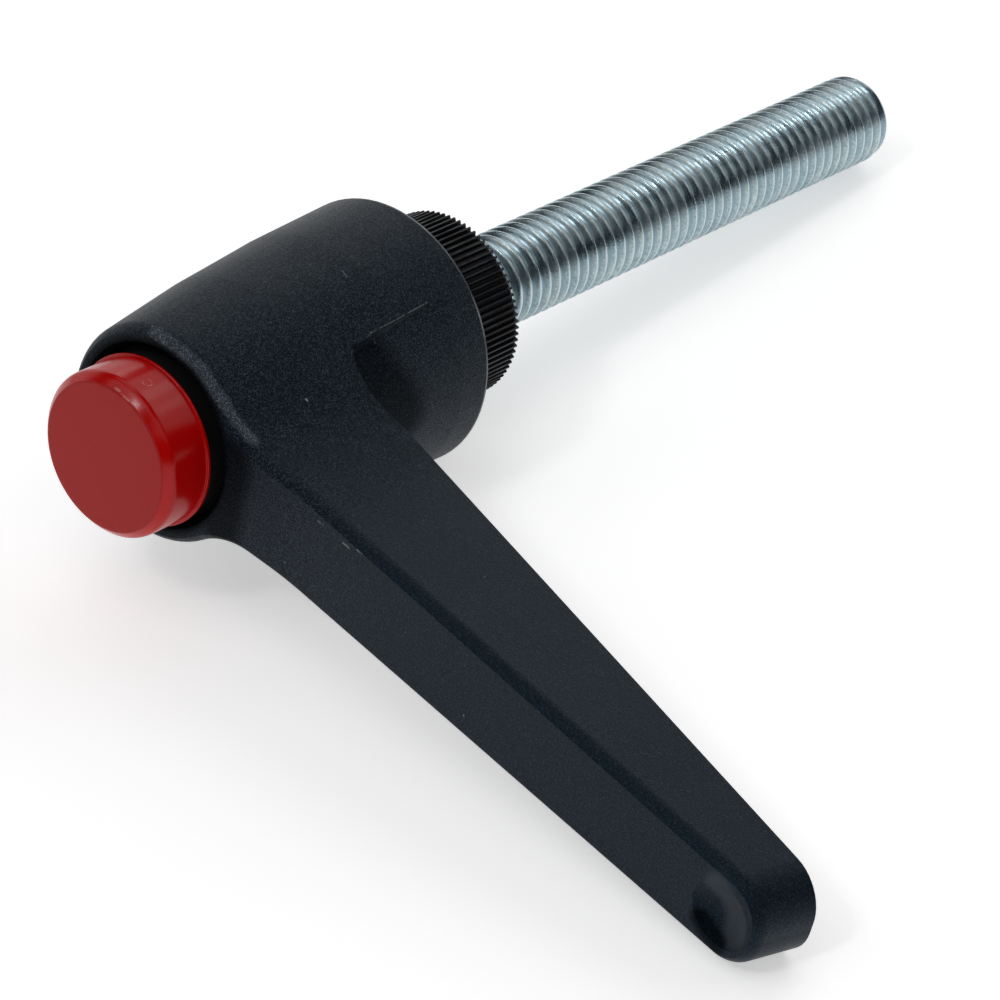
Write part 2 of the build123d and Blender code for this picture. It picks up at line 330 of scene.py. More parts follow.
def build_stroke():
    """Group: one short straight mark, such as a nick or a scratch, between two places."""
    places = [("Place", VECTOR, None), ("Start", VECTOR, None), ("End", VECTOR, None)]
    inputs = [*places, ("Width", FLOAT, 0.1), ("Break Up", FLOAT, 0.5)]
    tree, given, out = new_group("stroke", inputs, [("Mask", FLOAT)])

    def vector(operation, *values, output="Vector"):
        """Result of a Vector Math node."""
        inputs = dict(enumerate(values))
        return add_node(tree, "ShaderNodeVectorMath", inputs, operation=operation).outputs[output]

    from_start = vector("SUBTRACT", given["Place"], given["Start"])
    whole = vector("SUBTRACT", given["End"], given["Start"])
    reached = vector("DOT_PRODUCT", from_start, whole, output="Value")
    length_squared = vector("DOT_PRODUCT", whole, whole, output="Value")
    share = calculate(tree, "DIVIDE", reached, length_squared, clamp=True)
    nearest = add_node(tree, "ShaderNodeVectorMath", {0: whole, "Scale": share}, operation="SCALE")
    gap = vector("LENGTH", vector("SUBTRACT", from_start, nearest.outputs["Vector"]), output="Value")
    distance = calculate(tree, "DIVIDE", gap, given["Width"])
    inside = outside(tree, ramp(tree, distance, *SOFT_EDGE))
    noise = {"Vector": given["Place"], "Scale": RAGGED_CELLS, "Detail": 2.0}
    ragged = add_node(tree, "ShaderNodeTexNoise", noise).outputs["Fac"]
    low = calculate(tree, "SUBTRACT", given["Break Up"], RAGGED_EDGE)
    tree.links.new(times(tree, inside, ramp(tree, ragged, low, given["Break Up"])), out["Mask"])


def build_groups():
    """Builds the shared shader groups once."""
    for build in (build_hub_place, build_specks, build_grain, build_stroke):
        build()


def place_group(tree, group, **values):
    """A shared group in a material, with its named inputs filled, and its outputs."""
    node = add_node(tree, "ShaderNodeGroup", node_tree=bpy.data.node_groups[group])
    fill_inputs(tree, node, **values)
    return node.outputs


def stroke_mask(tree, place, start, end, width, broken=0.0):
    """Mask of one straight mark, which the noise may break up."""
    stroke = place_group(tree, "stroke", Place=place, Start=start, End=end, Width=width, Break_Up=broken)
    return stroke["Mask"]


def path_mask(tree, place, stops, width):
    """Mask of a soft band along a row of places."""
    strokes = [stroke_mask(tree, place, start, end, width) for start, end in zip(stops, stops[1:])]
    return calculate(tree, "MAXIMUM", *strokes)


# ---- lever ----------------------------------------------------------------
# Nicks and scratches, the first three a painted highlight along the parting line: start, end, width and
# share.
NICKS = (
    # painted highlight along the edge of the parting line, down the hub
    ((8.50, 8.93, 16.5), (8.05, 9.80, 13.6), 0.07, 0.20),
    ((8.05, 9.80, 13.6), (8.15, 10.06, 10.9), 0.07, 0.24),
    ((8.15, 10.06, 10.9), (8.07, 10.44, 5.8), 0.07, 0.28),
    ((8.01, 9.83, 13.7), (8.58, 8.84, 13.4), 0.09, 0.40),
    ((2.06, 12.68, 12.1), (2.93, 12.48, 12.3), 0.07, 0.35),
    ((-3.30, 10.07, 31.4), (-1.93, 9.64, 32.2), 0.10, 0.40),
    ((-1.76, 10.10, 32.0), (-0.94, 9.80, 32.2), 0.09, 0.40),
    ((23.84, 3.68, 32.9), (24.66, 3.70, 33.0), 0.12, 0.36),
    ((25.62, 4.17, 33.1), (26.29, 4.20, 33.2), 0.10, 0.36),
    ((20.38, 3.69, 32.5), (21.06, 3.73, 32.6), 0.10, 0.30),
    ((9.70, 6.95, 23.6), (9.85, 6.95, 23.5), 0.14, 0.90),
    ((2.31, 12.79, 10.0), (2.45, 12.77, 10.1), 0.10, 0.60),
)
NICKS_BROKEN = 0.47
DUST_SHARE = 0.5

# Rows of places that a soft band follows.
RIM_HIGHLIGHT = (                                         # painted highlight, from above the button to the arm
    (-2.6, 10.0, 31.8),
    (0.1, 10.2, 32.0),
    (3.2, 9.8, 31.9),
    (5.6, 8.6, 31.9),
    (8.2, 7.2, 31.6),
    (10.4, 5.8, 31.1),
)
# The thumb dish's rim, lit by a painted highlight, and the painted shade on its side across from it.
DISH_HIGHLIGHT = ((72.6, 2.2, 38.3), (73.9, 1.5, 38.1), (74.9, 0.3, 37.9), (75.3, -1.0, 38.1))
DISH_SHADE = ((71.7, -2.0, 38.2), (73.0, -2.6, 38.4), (74.2, -2.8, 38.6))
ARM_ROOT_SHADE = ((9.2, 3.0, 32.1), (9.6, -3.5, 32.1))    # painted shade where the arm's top meets the hub's rim
CORNER_SHADE = ((8.9, 8.0, 16.2), (12.4, 2.0, 12.2))      # painted shade where the arm's underside meets the hub

# Spans over which a mask goes from 0 to 1.
ARM_RADII = (12.0, 34.0)        # the arm is smoother than the hub, and painted lighter and bluer towards its tip
FOOT_RADII = (13.05, 13.2)      # the painted highlight on and above the chamfer round the hub's foot, outwards and upwards
FOOT_HEIGHTS = (0.40, 0.56)
BORE_RADII = (8.9, 10.3)        # the mouth of the bore round the button, where painted shade lies, outwards and upwards
BORE_HEIGHTS = (29.5, 30.5)
BEHIND_PARTING = (8.1, 8.4)     # the parting line behind the arm, along X
UNDER_ARM = (16.3, 16.6)        # the arm's underside
PIT_HEIGHTS = (0.48, 0.64)      # grain that gets a painted highlight
FOOT_CLOUDS = (0.36, 0.62)      # clouds that break up the painted highlight on the foot

SMOOTHED = 0.62                 # share of the grain that is gone from the arm
RIM_HIGHLIGHT_GRAIN = 0.2              # the painted rim highlight shows this much where the grain has no pit highlight
LEVER_ROUGHNESS = (0.33, 0.47)  # in clear and in cloudy places

# Tones over the plain colour, in order, each with its share where its mask is full. All of them but the
# marks are painted highlights.
TONES = {
    "pit_highlights": ((0.054, 0.072, 0.096, 1), 1.0),
    # painted highlights on single grains
    "glints": ((0.035, 0.047, 0.060, 1), 0.6),
    # painted highlight along the hub's upper rim
    "rim_highlight": ((0.20, 0.23, 0.27, 1), 0.8),
    # painted highlight on the thumb dish's rim
    "dish_highlight": ((0.042, 0.048, 0.057, 1), 0.85),
    # painted highlight along the edge of the hub's foot
    "foot_highlight": ((0.36, 0.38, 0.40, 1), 0.8),
    "marks": ((0.45, 0.45, 0.45, 1), 1.0),
}


class LeverLook(PropertyGroup):
    """Finish of the moulded lever."""

    colour: FloatVectorProperty(
        name="Colour", description="Colour of the moulding", subtype="COLOR", size=4,
        default=(0.00051, 0.00093, 0.00168, 1),
    )
    tip_sheen_colour: FloatVectorProperty(
        name="Tip sheen colour", description="Painted sheen, lighter and bluer towards the arm's tip",
        subtype="COLOR", size=4, default=(0.0040, 0.0075, 0.0118, 1),
    )
    grain_size: FloatProperty(
        name="Grain size", description="Size of the moulded grain in millimetres", default=0.10, min=0.02,
    )
    grain_depth: FloatProperty(
        name="Grain depth", description="Depth of the moulded grain", default=0.11 * MM, min=0.0,
        unit="LENGTH",
    )


class CLAMP_OT_lever(Operator):
    """Gives the moulded lever its grained finish, its painted highlights and shade, its dust and its nicks
    """

    bl_idname = "clamp.lever"
    bl_label = "Lever"

    def execute(self, context):
        look = context.scene.clamp_lever
        material, tree, shader = new_material("grained_moulding")
        hub = place_group(tree, "hub_place")
        place = hub["Place"]
        grain = place_group(tree, "grain", Place=place, Size=look.grain_size, Cloud_Size=9.0)
        arm = ramp(tree, hub["Radius"], *ARM_RADII)
        standing = outside(tree, times(tree, arm, SMOOTHED))
        pits = ramp(tree, grain["Height"], *PIT_HEIGHTS)
        # Painted highlight: a pale band along the rounding of the hub's upper rim.
        rim = path_mask(tree, place, RIM_HIGHLIGHT, width=0.85)
        # Painted highlight: a pale line along the edge of the hub's foot.
        foot_highlight = times(tree, self.foot_highlight(tree, hub), ramp(tree, grain["Cloud"], *FOOT_CLOUDS))
        masks = {
            "pit_highlights": times(tree, pits, standing),
            "glints": place_group(tree, "specks", Place=place, Spacing=0.42, Size=0.1, Share=0.35)["Mask"],
            "rim_highlight": times(tree, rim, calculate(tree, "MAXIMUM", pits, RIM_HIGHLIGHT_GRAIN)),
            "dish_highlight": path_mask(tree, place, DISH_HIGHLIGHT, width=2.0),
            "foot_highlight": foot_highlight,
            "marks": self.marks(tree, place),
        }
        # Painted sheen: the colour grows lighter and bluer out along the arm.
        colour = blend_colours(tree, arm, look.colour, look.tip_sheen_colour)
        for name, (tone, share) in TONES.items():
            colour = blend_colours(tree, times(tree, masks[name], share), colour, tone)
        # Painted shade: a coat that mirrors nothing and only takes light away darkens the corner behind the
        # arm, the bore, the dish's low side and the arm's root.
        fill_inputs(
            tree, shader, Base_Color=colour, Roughness=grade(tree, grain["Cloud"], *LEVER_ROUGHNESS),
            Specular_IOR_Level=0.14, Specular_Tint=(0.40, 0.70, 1.0, 1),
            Coat_Weight=times(tree, self.painted_shade(tree, hub), outside(tree, rim)),
            Coat_IOR=1.0, Coat_Roughness=1.0, Coat_Tint=(0, 0, 0, 1),
            Normal=add_bump(tree, times(tree, grain["Height"], standing), look.grain_depth),
        )
        finish_cad("lever_handle", material)
        return {"FINISHED"}

    def foot_highlight(self, tree, hub):
        """Mask of the painted highlight on and just above the chamfer round the foot of the hub."""
        low = outside(tree, ramp(tree, hub["Height"], *FOOT_HEIGHTS))
        return times(tree, low, ramp(tree, hub["Radius"], *FOOT_RADII))

    def marks(self, tree, place):
        """Mask of the dust, the nicks, the scratches and the painted highlight along the parting line."""
        dust = place_group(tree, "specks", Place=place, Spacing=2.2, Size=0.11, Share=0.22)["Mask"]
        masks = [times(tree, dust, DUST_SHARE)]
        for start, end, width, share in NICKS:
            nick = stroke_mask(tree, place, start, end, width, NICKS_BROKEN)
            masks.append(times(tree, nick, share))
        return calculate(tree, "MAXIMUM", *masks)

    def painted_shade(self, tree, hub):
        """Mask of the painted shade behind the arm, in the bore, on the dish's low side and at the arm's
        root.
        """
        place = hub["Place"]
        side = add_node(tree, "ShaderNodeSeparateXYZ", {"Vector": place}).outputs["X"]
        behind = ramp(tree, side, *BEHIND_PARTING)
        below = outside(tree, ramp(tree, hub["Height"], *UNDER_ARM))
        corner = times(tree, path_mask(tree, place, CORNER_SHADE, width=5.0), behind, below)
        inward = outside(tree, ramp(tree, hub["Radius"], *BORE_RADII))
        bore = times(tree, inward, ramp(tree, hub["Height"], *BORE_HEIGHTS))
        dish = path_mask(tree, place, DISH_SHADE, width=1.3)
        root = path_mask(tree, place, ARM_ROOT_SHADE, width=3.6)
        shades = ((corner, 0.6), (bore, 0.85), (dish, 0.65), (root, 0.6))
        return calculate(tree, "MAXIMUM", *(times(tree, mask, share) for mask, share in shades))


# ---- push button ----------------------------------------------------------
# Marks on the button's rim and the ring of a moulding mark: start, end, width and break-up.
DINGS = (
    ((-0.5, 7.46, 38.3), (0.0, 7.44, 38.3), 0.16, 0.46),
    ((0.4, 7.34, 38.4), (1.3, 7.24, 38.4), 0.16, 0.48),
    ((0.55, 8.07, 36.05), (0.85, 8.05, 36.30), 0.08, 0.40),
    ((0.85, 8.05, 36.30), (1.25, 8.00, 36.15), 0.08, 0.44),
    ((1.25, 8.00, 36.15), (1.40, 7.98, 35.70), 0.08, 0.40),
    ((1.40, 7.98, 35.70), (1.10, 8.02, 35.35), 0.08, 0.46),
    ((1.10, 8.02, 35.35), (0.70, 8.06, 35.40), 0.08, 0.42),
)
DING_COLOUR = (0.75, 0.40, 0.36, 1)
DING_SHARE = 0.35
GAP_SHADE_COLOUR = (0.002, 0.001, 0.001, 1)
BUTTON_ROUGHNESS = (0.20, 0.53)     # on the sides and on the front
FRONT_EDGE = (0.16, 0.01)           # below the front, in millimetres: its matte grain sets in
FRONT_DEPTH = 0.035 * MM            # of the grain on the front
FLOW_DEPTH = 0.02 * MM              # of the flow marks


class ButtonLook(PropertyGroup):
    """Form and finish of the push button."""

    radius: FloatProperty(
        name="Radius", description="Radius of the button's front part", default=8.1 * MM, unit="LENGTH",
    )
    flange: FloatProperty(
        name="Flange", description="The skirt is wider than the front part by this", default=0.25 * MM,
        unit="LENGTH",
    )
    shoulder: FloatProperty(
        name="Shoulder", description="Height of the skirt's shoulder over the hub's rim", default=1.4 * MM,
        unit="LENGTH",
    )
    lip: FloatProperty(
        name="Lip", description="Thickness of the lip at the shoulder", default=0.35 * MM, unit="LENGTH",
    )
    undercut: FloatProperty(
        name="Undercut", description="Depth of the groove under the lip", default=0.6 * MM, unit="LENGTH",
    )
    chamfer: FloatProperty(
        name="Chamfer", description="Chamfer round the front", default=0.85 * MM, unit="LENGTH",
    )
    height: FloatProperty(
        name="Height", description="From the skirt's foot to the front", default=13.95 * MM, unit="LENGTH",
    )
    wall: FloatProperty(name="Wall", description="Wall of the skirt", default=1.4 * MM, unit="LENGTH")
    front_wall: FloatProperty(
        name="Front wall", description="Thickness of the front", default=2.7 * MM, unit="LENGTH",
    )
    ring_radius: FloatProperty(
        name="Ring radius", description="Bore of the ring that grips the screw", default=5.03 * MM,
        unit="LENGTH",
    )
    ring_rise: FloatProperty(
        name="Ring rise", description="Foot of that ring over the spigot", default=0.4 * MM, unit="LENGTH",
    )
    colour: FloatVectorProperty(
        name="Colour", description="Colour of the glossy sides", subtype="COLOR", size=4,
        default=(0.53, 0.0008, 0.0007, 1),
    )
    clouded_colour: FloatVectorProperty(
        name="Clouded colour", description="Colour of the sides where they are cloudy",
        subtype="COLOR", size=4, default=(0.46, 0.0006, 0.0005, 1),
    )
    front_colour: FloatVectorProperty(
        name="Front colour", description="Colour of the matte front", subtype="COLOR", size=4,
        default=(0.365, 0.0038, 0.0020, 1),
    )
    segments: IntProperty(name="Segments", description="Sides of the turned form", default=192, min=24)


class CLAMP_OT_button(Operator):
    """Builds the push button with rounded edges, glossy sides and a matte front"""

    bl_idname = "clamp.button"
    bl_label = "Push button"

    def execute(self, context):
        look = context.scene.clamp_button
        skirt = look.radius + look.flange
        shoulder = HUB_HEIGHT + look.shoulder
        foot_highlight = BUTTON_FRONT - look.height
        ceiling = BUTTON_FRONT - look.front_wall
        ring_foot = SPIGOT_TOP + look.ring_rise
        ring_outer = look.ring_radius + look.wall
        profile = rounded_profile(
            [
                (0, BUTTON_FRONT, 0),
                (look.radius - look.chamfer, BUTTON_FRONT, 0.45 * MM),
                (look.radius, BUTTON_FRONT - look.chamfer, 0.8 * MM),
                (look.radius, shoulder, 0.05 * MM),
                (skirt, shoulder, 0.08 * MM),
                (skirt, shoulder - look.lip, 0.08 * MM),
                (skirt - look.undercut, shoulder - look.lip, 0.05 * MM),
                (skirt - look.undercut, HUB_HEIGHT - 2 * look.undercut, 0.1 * MM),
                (skirt, HUB_HEIGHT - 3 * look.undercut, 0.1 * MM),
                (skirt, foot_highlight, 0.2 * MM),
                (skirt - look.wall, foot_highlight, 0.2 * MM),
                (skirt - look.wall, ceiling, 0.2 * MM),
                (ring_outer, ceiling, 0.02 * MM),
                (ring_outer, ring_foot, 0.1 * MM),
                (look.ring_radius, ring_foot, 0.1 * MM),
                (look.ring_radius, ceiling, 0.1 * MM),
                (0, ceiling, 0),
            ]
        )
        button = turned_piece("push_button_cap", profile, look.segments)
        add_piece(button, "spindle", self.finish(look), "red_button", "push_button")
        return {"FINISHED"}

    def finish(self, look):
        """Red plastic: a matte, fine-grained front, glossy sides with faint flow marks, and painted shade
        below the skirt's lip.
        """
        material, tree, shader = new_material("red_plastic")
        hub = place_group(tree, "hub_place")
        place = hub["Place"]
        front = ramp(tree, hub["Height"], *(BUTTON_FRONT / MM - below for below in FRONT_EDGE))
        grain = place_group(tree, "grain", Place=place, Size=0.16, Cloud_Size=4.0)
        flow = place_group(tree, "grain", Place=place, Size=2.4, Cloud_Size=6.0)
        groove = self.groove(tree, hub, look)
        side_colour = blend_colours(tree, grain["Cloud"], look.colour, look.clouded_colour)
        colour = blend_colours(tree, front, side_colour, look.front_colour)
        # Painted shade: the skirt is coloured near black from its lip down.
        colour = blend_colours(tree, groove, colour, GAP_SHADE_COLOUR)
        colour = blend_colours(tree, times(tree, self.marks(tree, place), DING_SHARE), colour, DING_COLOUR)
        roughness = calculate(tree, "MAXIMUM", grade(tree, front, *BUTTON_ROUGHNESS), groove)
        front_height = times(tree, grain["Height"], front, FRONT_DEPTH)
        height = calculate(tree, "ADD", front_height, times(tree, flow["Height"], FLOW_DEPTH))
        fill_inputs(
            tree, shader, Base_Color=colour, Roughness=roughness, Specular_IOR_Level=0.28,
            Normal=add_bump(tree, height, 1.0),
        )
        return material

    def groove(self, tree, hub, look):
        """Mask of the painted shade in the groove under the skirt's lip and on all that is below it."""
        lip_foot = HUB_HEIGHT + look.shoulder - look.lip
        below = calculate(tree, "LESS_THAN", hub["Height"], lip_foot / MM)
        outer = calculate(tree, "GREATER_THAN", hub["Radius"], (look.radius - look.undercut) / MM)
        return times(tree, below, outer)

    def marks(self, tree, place):
        """Mask of the dust, the dings and the moulding mark."""
        dust = place_group(tree, "specks", Place=place, Spacing=1.7, Size=0.09, Share=0.16)["Mask"]
        return calculate(tree, "MAXIMUM", dust, *(stroke_mask(tree, place, *ding) for ding in DINGS))


# ---- fluted boss ----------------------------------------------------------
CREST_DEPTHS = (0.06, 0.02)         # below the flutes' crests, in millimetres: rubbed metal sets in
CREST_CLOUDS = (0.32, 0.6)          # clouds that break it up
BOSS_ROUGHNESS = (0.5, 0.35)        # black and rubbed
BOSS_METALLIC = 0.5                 # of the rubbed metal
BOSS_DEPTH = 0.01 * MM              # of the grain


class BossLook(PropertyGroup):
    """Finish of the fluted boss."""

    colour: FloatVectorProperty(
        name="Colour", description="Colour of the blackened steel", subtype="COLOR", size=4,
        default=(0.0030, 0.0036, 0.0048, 1),
    )
    crest_colour: FloatVectorProperty(
        name="Crest colour", description="Colour of the crests, rubbed on the boss and a painted highlight on the stud", subtype="COLOR", size=4,
        default=(0.028, 0.031, 0.036, 1),
    )


class CLAMP_OT_boss(Operator):
    """Gives the fluted boss its blackened flutes with rubbed crests"""

    bl_idname = "clamp.boss"
    bl_label = "Fluted boss"

    def execute(self, context):
        look = context.scene.clamp_boss
        material, tree, shader = new_material("blackened_steel")
        hub = place_group(tree, "hub_place")
        grain = place_group(tree, "grain", Place=hub["Place"], Size=0.12, Cloud_Size=2.5)
        crest = ramp(tree, hub["Radius"], *(BOSS_RADIUS / MM - depth for depth in CREST_DEPTHS))
        worn = times(tree, crest, ramp(tree, grain["Cloud"], *CREST_CLOUDS))
        fill_inputs(
            tree, shader, Base_Color=blend_colours(tree, worn, look.colour, look.crest_colour),
            Roughness=grade(tree, worn, *BOSS_ROUGHNESS), Metallic=times(tree, worn, BOSS_METALLIC),
            Specular_IOR_Level=0.15, Normal=add_bump(tree, grain["Height"], BOSS_DEPTH),
        )
        finish_cad("toothed_insert", material)
        return {"FINISHED"}


# ---- threaded stud --------------------------------------------------------
# One turn of the thread: share of the pitch, and rise as a share of the way from root to crest.
THREAD = (
    (0.0, 0.0), (0.08, 0.02), (0.17, 0.16), (0.28, 0.50), (0.37, 0.84), (0.43, 0.97), (0.5, 1.0),
    (0.57, 0.97), (0.63, 0.84), (0.72, 0.50), (0.83, 0.16), (0.92, 0.02),
)
NO_LENGTH = 1e-9                    # faces that the cut ends have flattened are smaller than this
WELD_GAP = 0.002 * MM
CREST_HIGHLIGHT_DEPTHS = (0.08, 0.01)          # below the crests, in millimetres: the painted highlight sets in
ROOT_SHADE_FADE = (0.1, 0.2)            # above the roots and below the crests, in millimetres: the painted shade of the roots fades out over this span
STUD_CLOUDS = (0.35, 0.65)
STUD_MOTTLES = (0.3, 0.7)
DULL_COLOUR = (0.08, 0.11, 0.12, 1)
DULL_SHARE = 0.45
STUD_ROUGHNESS = (0.25, 0.35)       # in clear and in cloudy places
STUD_DEPTH = 0.012 * MM             # of the grain


class StudLook(PropertyGroup):
    """Form and finish of the threaded stud."""

    crest_radius: FloatProperty(
        name="Crest radius", description="Over the thread's crests", default=4.87 * MM, unit="LENGTH",
    )
    root_radius: FloatProperty(
        name="Root radius", description="At the thread's roots", default=4.10 * MM, unit="LENGTH",
    )
    held_radius: FloatProperty(
        name="Held radius", description="Where the boss holds it", default=4.51 * MM, unit="LENGTH",
    )
    pitch: FloatProperty(name="Pitch", description="Rise of one turn", default=1.5 * MM, unit="LENGTH")
    length: FloatProperty(name="Length", description="Below the boss", default=70 * MM, unit="LENGTH")
    held: FloatProperty(
        name="Held", description="Length screwed into the boss", default=13.5 * MM, unit="LENGTH",
    )
    chamfer: FloatProperty(
        name="Chamfer", description="How much the free end is rounded in", default=1.5 * MM, unit="LENGTH",
    )
    rounding_length: FloatProperty(
        name="Rounding", description="Length of the rounded end", default=1.9 * MM, unit="LENGTH",
    )
    colour: FloatVectorProperty(
        name="Colour", description="Colour of the plating", subtype="COLOR", size=4,
        default=(0.39, 0.52, 0.57, 1),
    )
    clouded_colour: FloatVectorProperty(
        name="Clouded colour", description="Colour of the plating where it is cloudy",
        subtype="COLOR", size=4, default=(0.54, 0.64, 0.66, 1),
    )
    root_shade_and_plating_colour: FloatVectorProperty(
        name="Root colour", description="Colour of the thread's roots", subtype="COLOR", size=4,
        default=(0.25, 0.35, 0.40, 1),
    )
    crest_colour: FloatVectorProperty(
        name="Crest colour", description="Colour of the crests, rubbed on the boss and a painted highlight on the stud", subtype="COLOR", size=4,
        default=(0.55, 0.65, 0.69, 1),
    )
    segments: IntProperty(name="Segments", description="Sides of each turn", default=72, min=12)


class CLAMP_OT_stud(Operator):
    """Builds the stud with its right-hand thread"""

    bl_idname = "clamp.stud"
    bl_label = "Threaded stud"

    def execute(self, context):
        look = context.scene.clamp_stud
        end = -BOSS_BELOW - look.length
        top = look.held - BOSS_BELOW
        end_radius = look.crest_radius - look.chamfer
        angles = np.arange(look.segments + 1) * 2 * pi / look.segments
        skin = self.thread(look, angles, end, end_radius, top)
        caps = ((end, end_radius), (top, look.root_radius))
        stud = self.close_ends(skin, angles, caps)
        weld = stud.modifiers.new("weld", "WELD")
        weld.merge_threshold = WELD_GAP
        add_piece(stud, "spindle", self.finish(look), "zinc_stud", "threaded_stud")
        return {"FINISHED"}

    def thread(self, look, angles, end, end_radius, top):
        """Points of the thread: cut level at both ends, rounded at the free one, slimmer in the boss."""
        shares, rises = np.array(THREAD).T
        radii = look.root_radius + (look.crest_radius - look.root_radius) * rises
        turns = ceil((top - end) / look.pitch) + 1
        starts = end - look.pitch + look.pitch * (np.arange(turns)[:, None] + shares).ravel()
        heights = starts[:, None] + look.pitch * angles / (2 * pi)
        drop = 1 - np.clip((heights - end) / look.rounding_length, 0, 1)
        allowed = look.crest_radius - look.chamfer * (1 - np.sqrt(1 - drop**2))
        allowed = np.where(heights > -BOSS_BELOW, np.minimum(allowed, look.held_radius), allowed)
        reach = np.minimum(np.tile(radii, turns)[:, None], allowed)
        heights = np.clip(heights, end, top)
        reach = np.where(heights <= end, end_radius, np.where(heights >= top, look.root_radius, reach))
        return round_axis(reach, angles, heights)

    def close_ends(self, skin, angles, caps):
        """The thread's skin without its flattened faces, and with a flat cap on each end."""
        points = skin.reshape(-1, 3)
        spans = np.column_stack([points[:, 2], np.hypot(points[:, 0], points[:, 1])])
        grid = grid_faces(*skin.shape[:2])
        faces = [face for face in grid if np.ptp(spans[list(face)], axis=0).max() > NO_LENGTH]
        centres = [(0, 0, height) for height, _ in caps]
        rings = [round_axis(radius, angles, height) for height, radius in caps]
        low_centre = len(points)
        high_centre = low_centre + 1
        for segment in range(len(angles) - 1):
            low = high_centre + 1 + segment
            high = low + len(angles)
            faces.append((low_centre, low + 1, low))
            faces.append((high_centre, high, high + 1))
        return mesh_piece("threaded_stud_m10", np.vstack([points, centres, *rings]), faces, radians(40))

    def finish(self, look):
        """Zinc plating: roots darkened by painted shade and plating build-up, clouded flanks, and crests
        lightened by a painted highlight.
        """
        material, tree, shader = new_material("zinc_plating")
        hub = place_group(tree, "hub_place")
        grain = place_group(tree, "grain", Place=hub["Place"], Size=0.3, Cloud_Size=3.5)
        root_radius, crest_radius = look.root_radius / MM, look.crest_radius / MM
        crest = ramp(tree, hub["Radius"], *(crest_radius - depth for depth in CREST_HIGHLIGHT_DEPTHS))
        flank = ramp(tree, hub["Radius"], root_radius + ROOT_SHADE_FADE[0], crest_radius - ROOT_SHADE_FADE[1])
        cloud = ramp(tree, grain["Cloud"], *STUD_CLOUDS)
        mottle = ramp(tree, grain["Height"], *STUD_MOTTLES)
        plating = blend_colours(tree, cloud, look.colour, look.clouded_colour)
        dull = blend_colours(tree, DULL_SHARE, plating, DULL_COLOUR)
        mottled = blend_colours(tree, mottle, dull, plating)
        # Painted shade, together with plating build-up, darkens the roots and fades out up the flanks.
        threaded = blend_colours(tree, flank, look.root_shade_and_plating_colour, mottled)
        # Painted highlight: the crests are coloured lighter.
        fill_inputs(
            tree, shader, Base_Color=blend_colours(tree, crest, threaded, look.crest_colour),
            Roughness=grade(tree, cloud, *STUD_ROUGHNESS), Metallic=1.0,
            Normal=add_bump(tree, grain["Height"], STUD_DEPTH),
        )
        return material


# ---- inner pieces ---------------------------------------------------------
# Name, colour and roughness of each steel.
WIRE_STEEL = ("spring_wire", (0.32, 0.32, 0.33, 1), 0.32)
SCREW_STEEL = ("black_screw_steel", (0.035, 0.035, 0.038, 1), 0.42)
WASHER_STEEL = ("turned_steel", (0.45, 0.45, 0.45, 1), 0.3)
CLOUD_DULLING = 0.7             # a cloud's colour, as a share of the steel's
CLOUD_ROUGHNESS = 0.15          # how much rougher a cloud is
STEEL_DEPTH = 0.006 * MM        # of the grain


class SpringLook(PropertyGroup):
    """Form of the return spring."""

    wire: FloatProperty(name="Wire", description="Diameter of the wire", default=1.0 * MM, unit="LENGTH")
    mean_radius: FloatProperty(
        name="Mean radius", description="Radius of the coil", default=5.2 * MM, unit="LENGTH",
    )
    turns: FloatProperty(name="Turns", description="Number of turns", default=4.5)
    foot_highlight: FloatProperty(name="Foot", description="Level of its lower end", default=15.0 * MM, unit="LENGTH")
    top: FloatProperty(name="Top", description="Level of its upper end", default=28.8 * MM, unit="LENGTH")
    press: FloatProperty(
        name="Press", description="How far the button goes in", default=4.5 * MM, unit="LENGTH",
    )
    steps: IntProperty(name="Steps", description="Rings of points in one turn", default=48, min=12)
    sides: IntProperty(name="Sides", description="Sides of the wire", default=14, min=6)


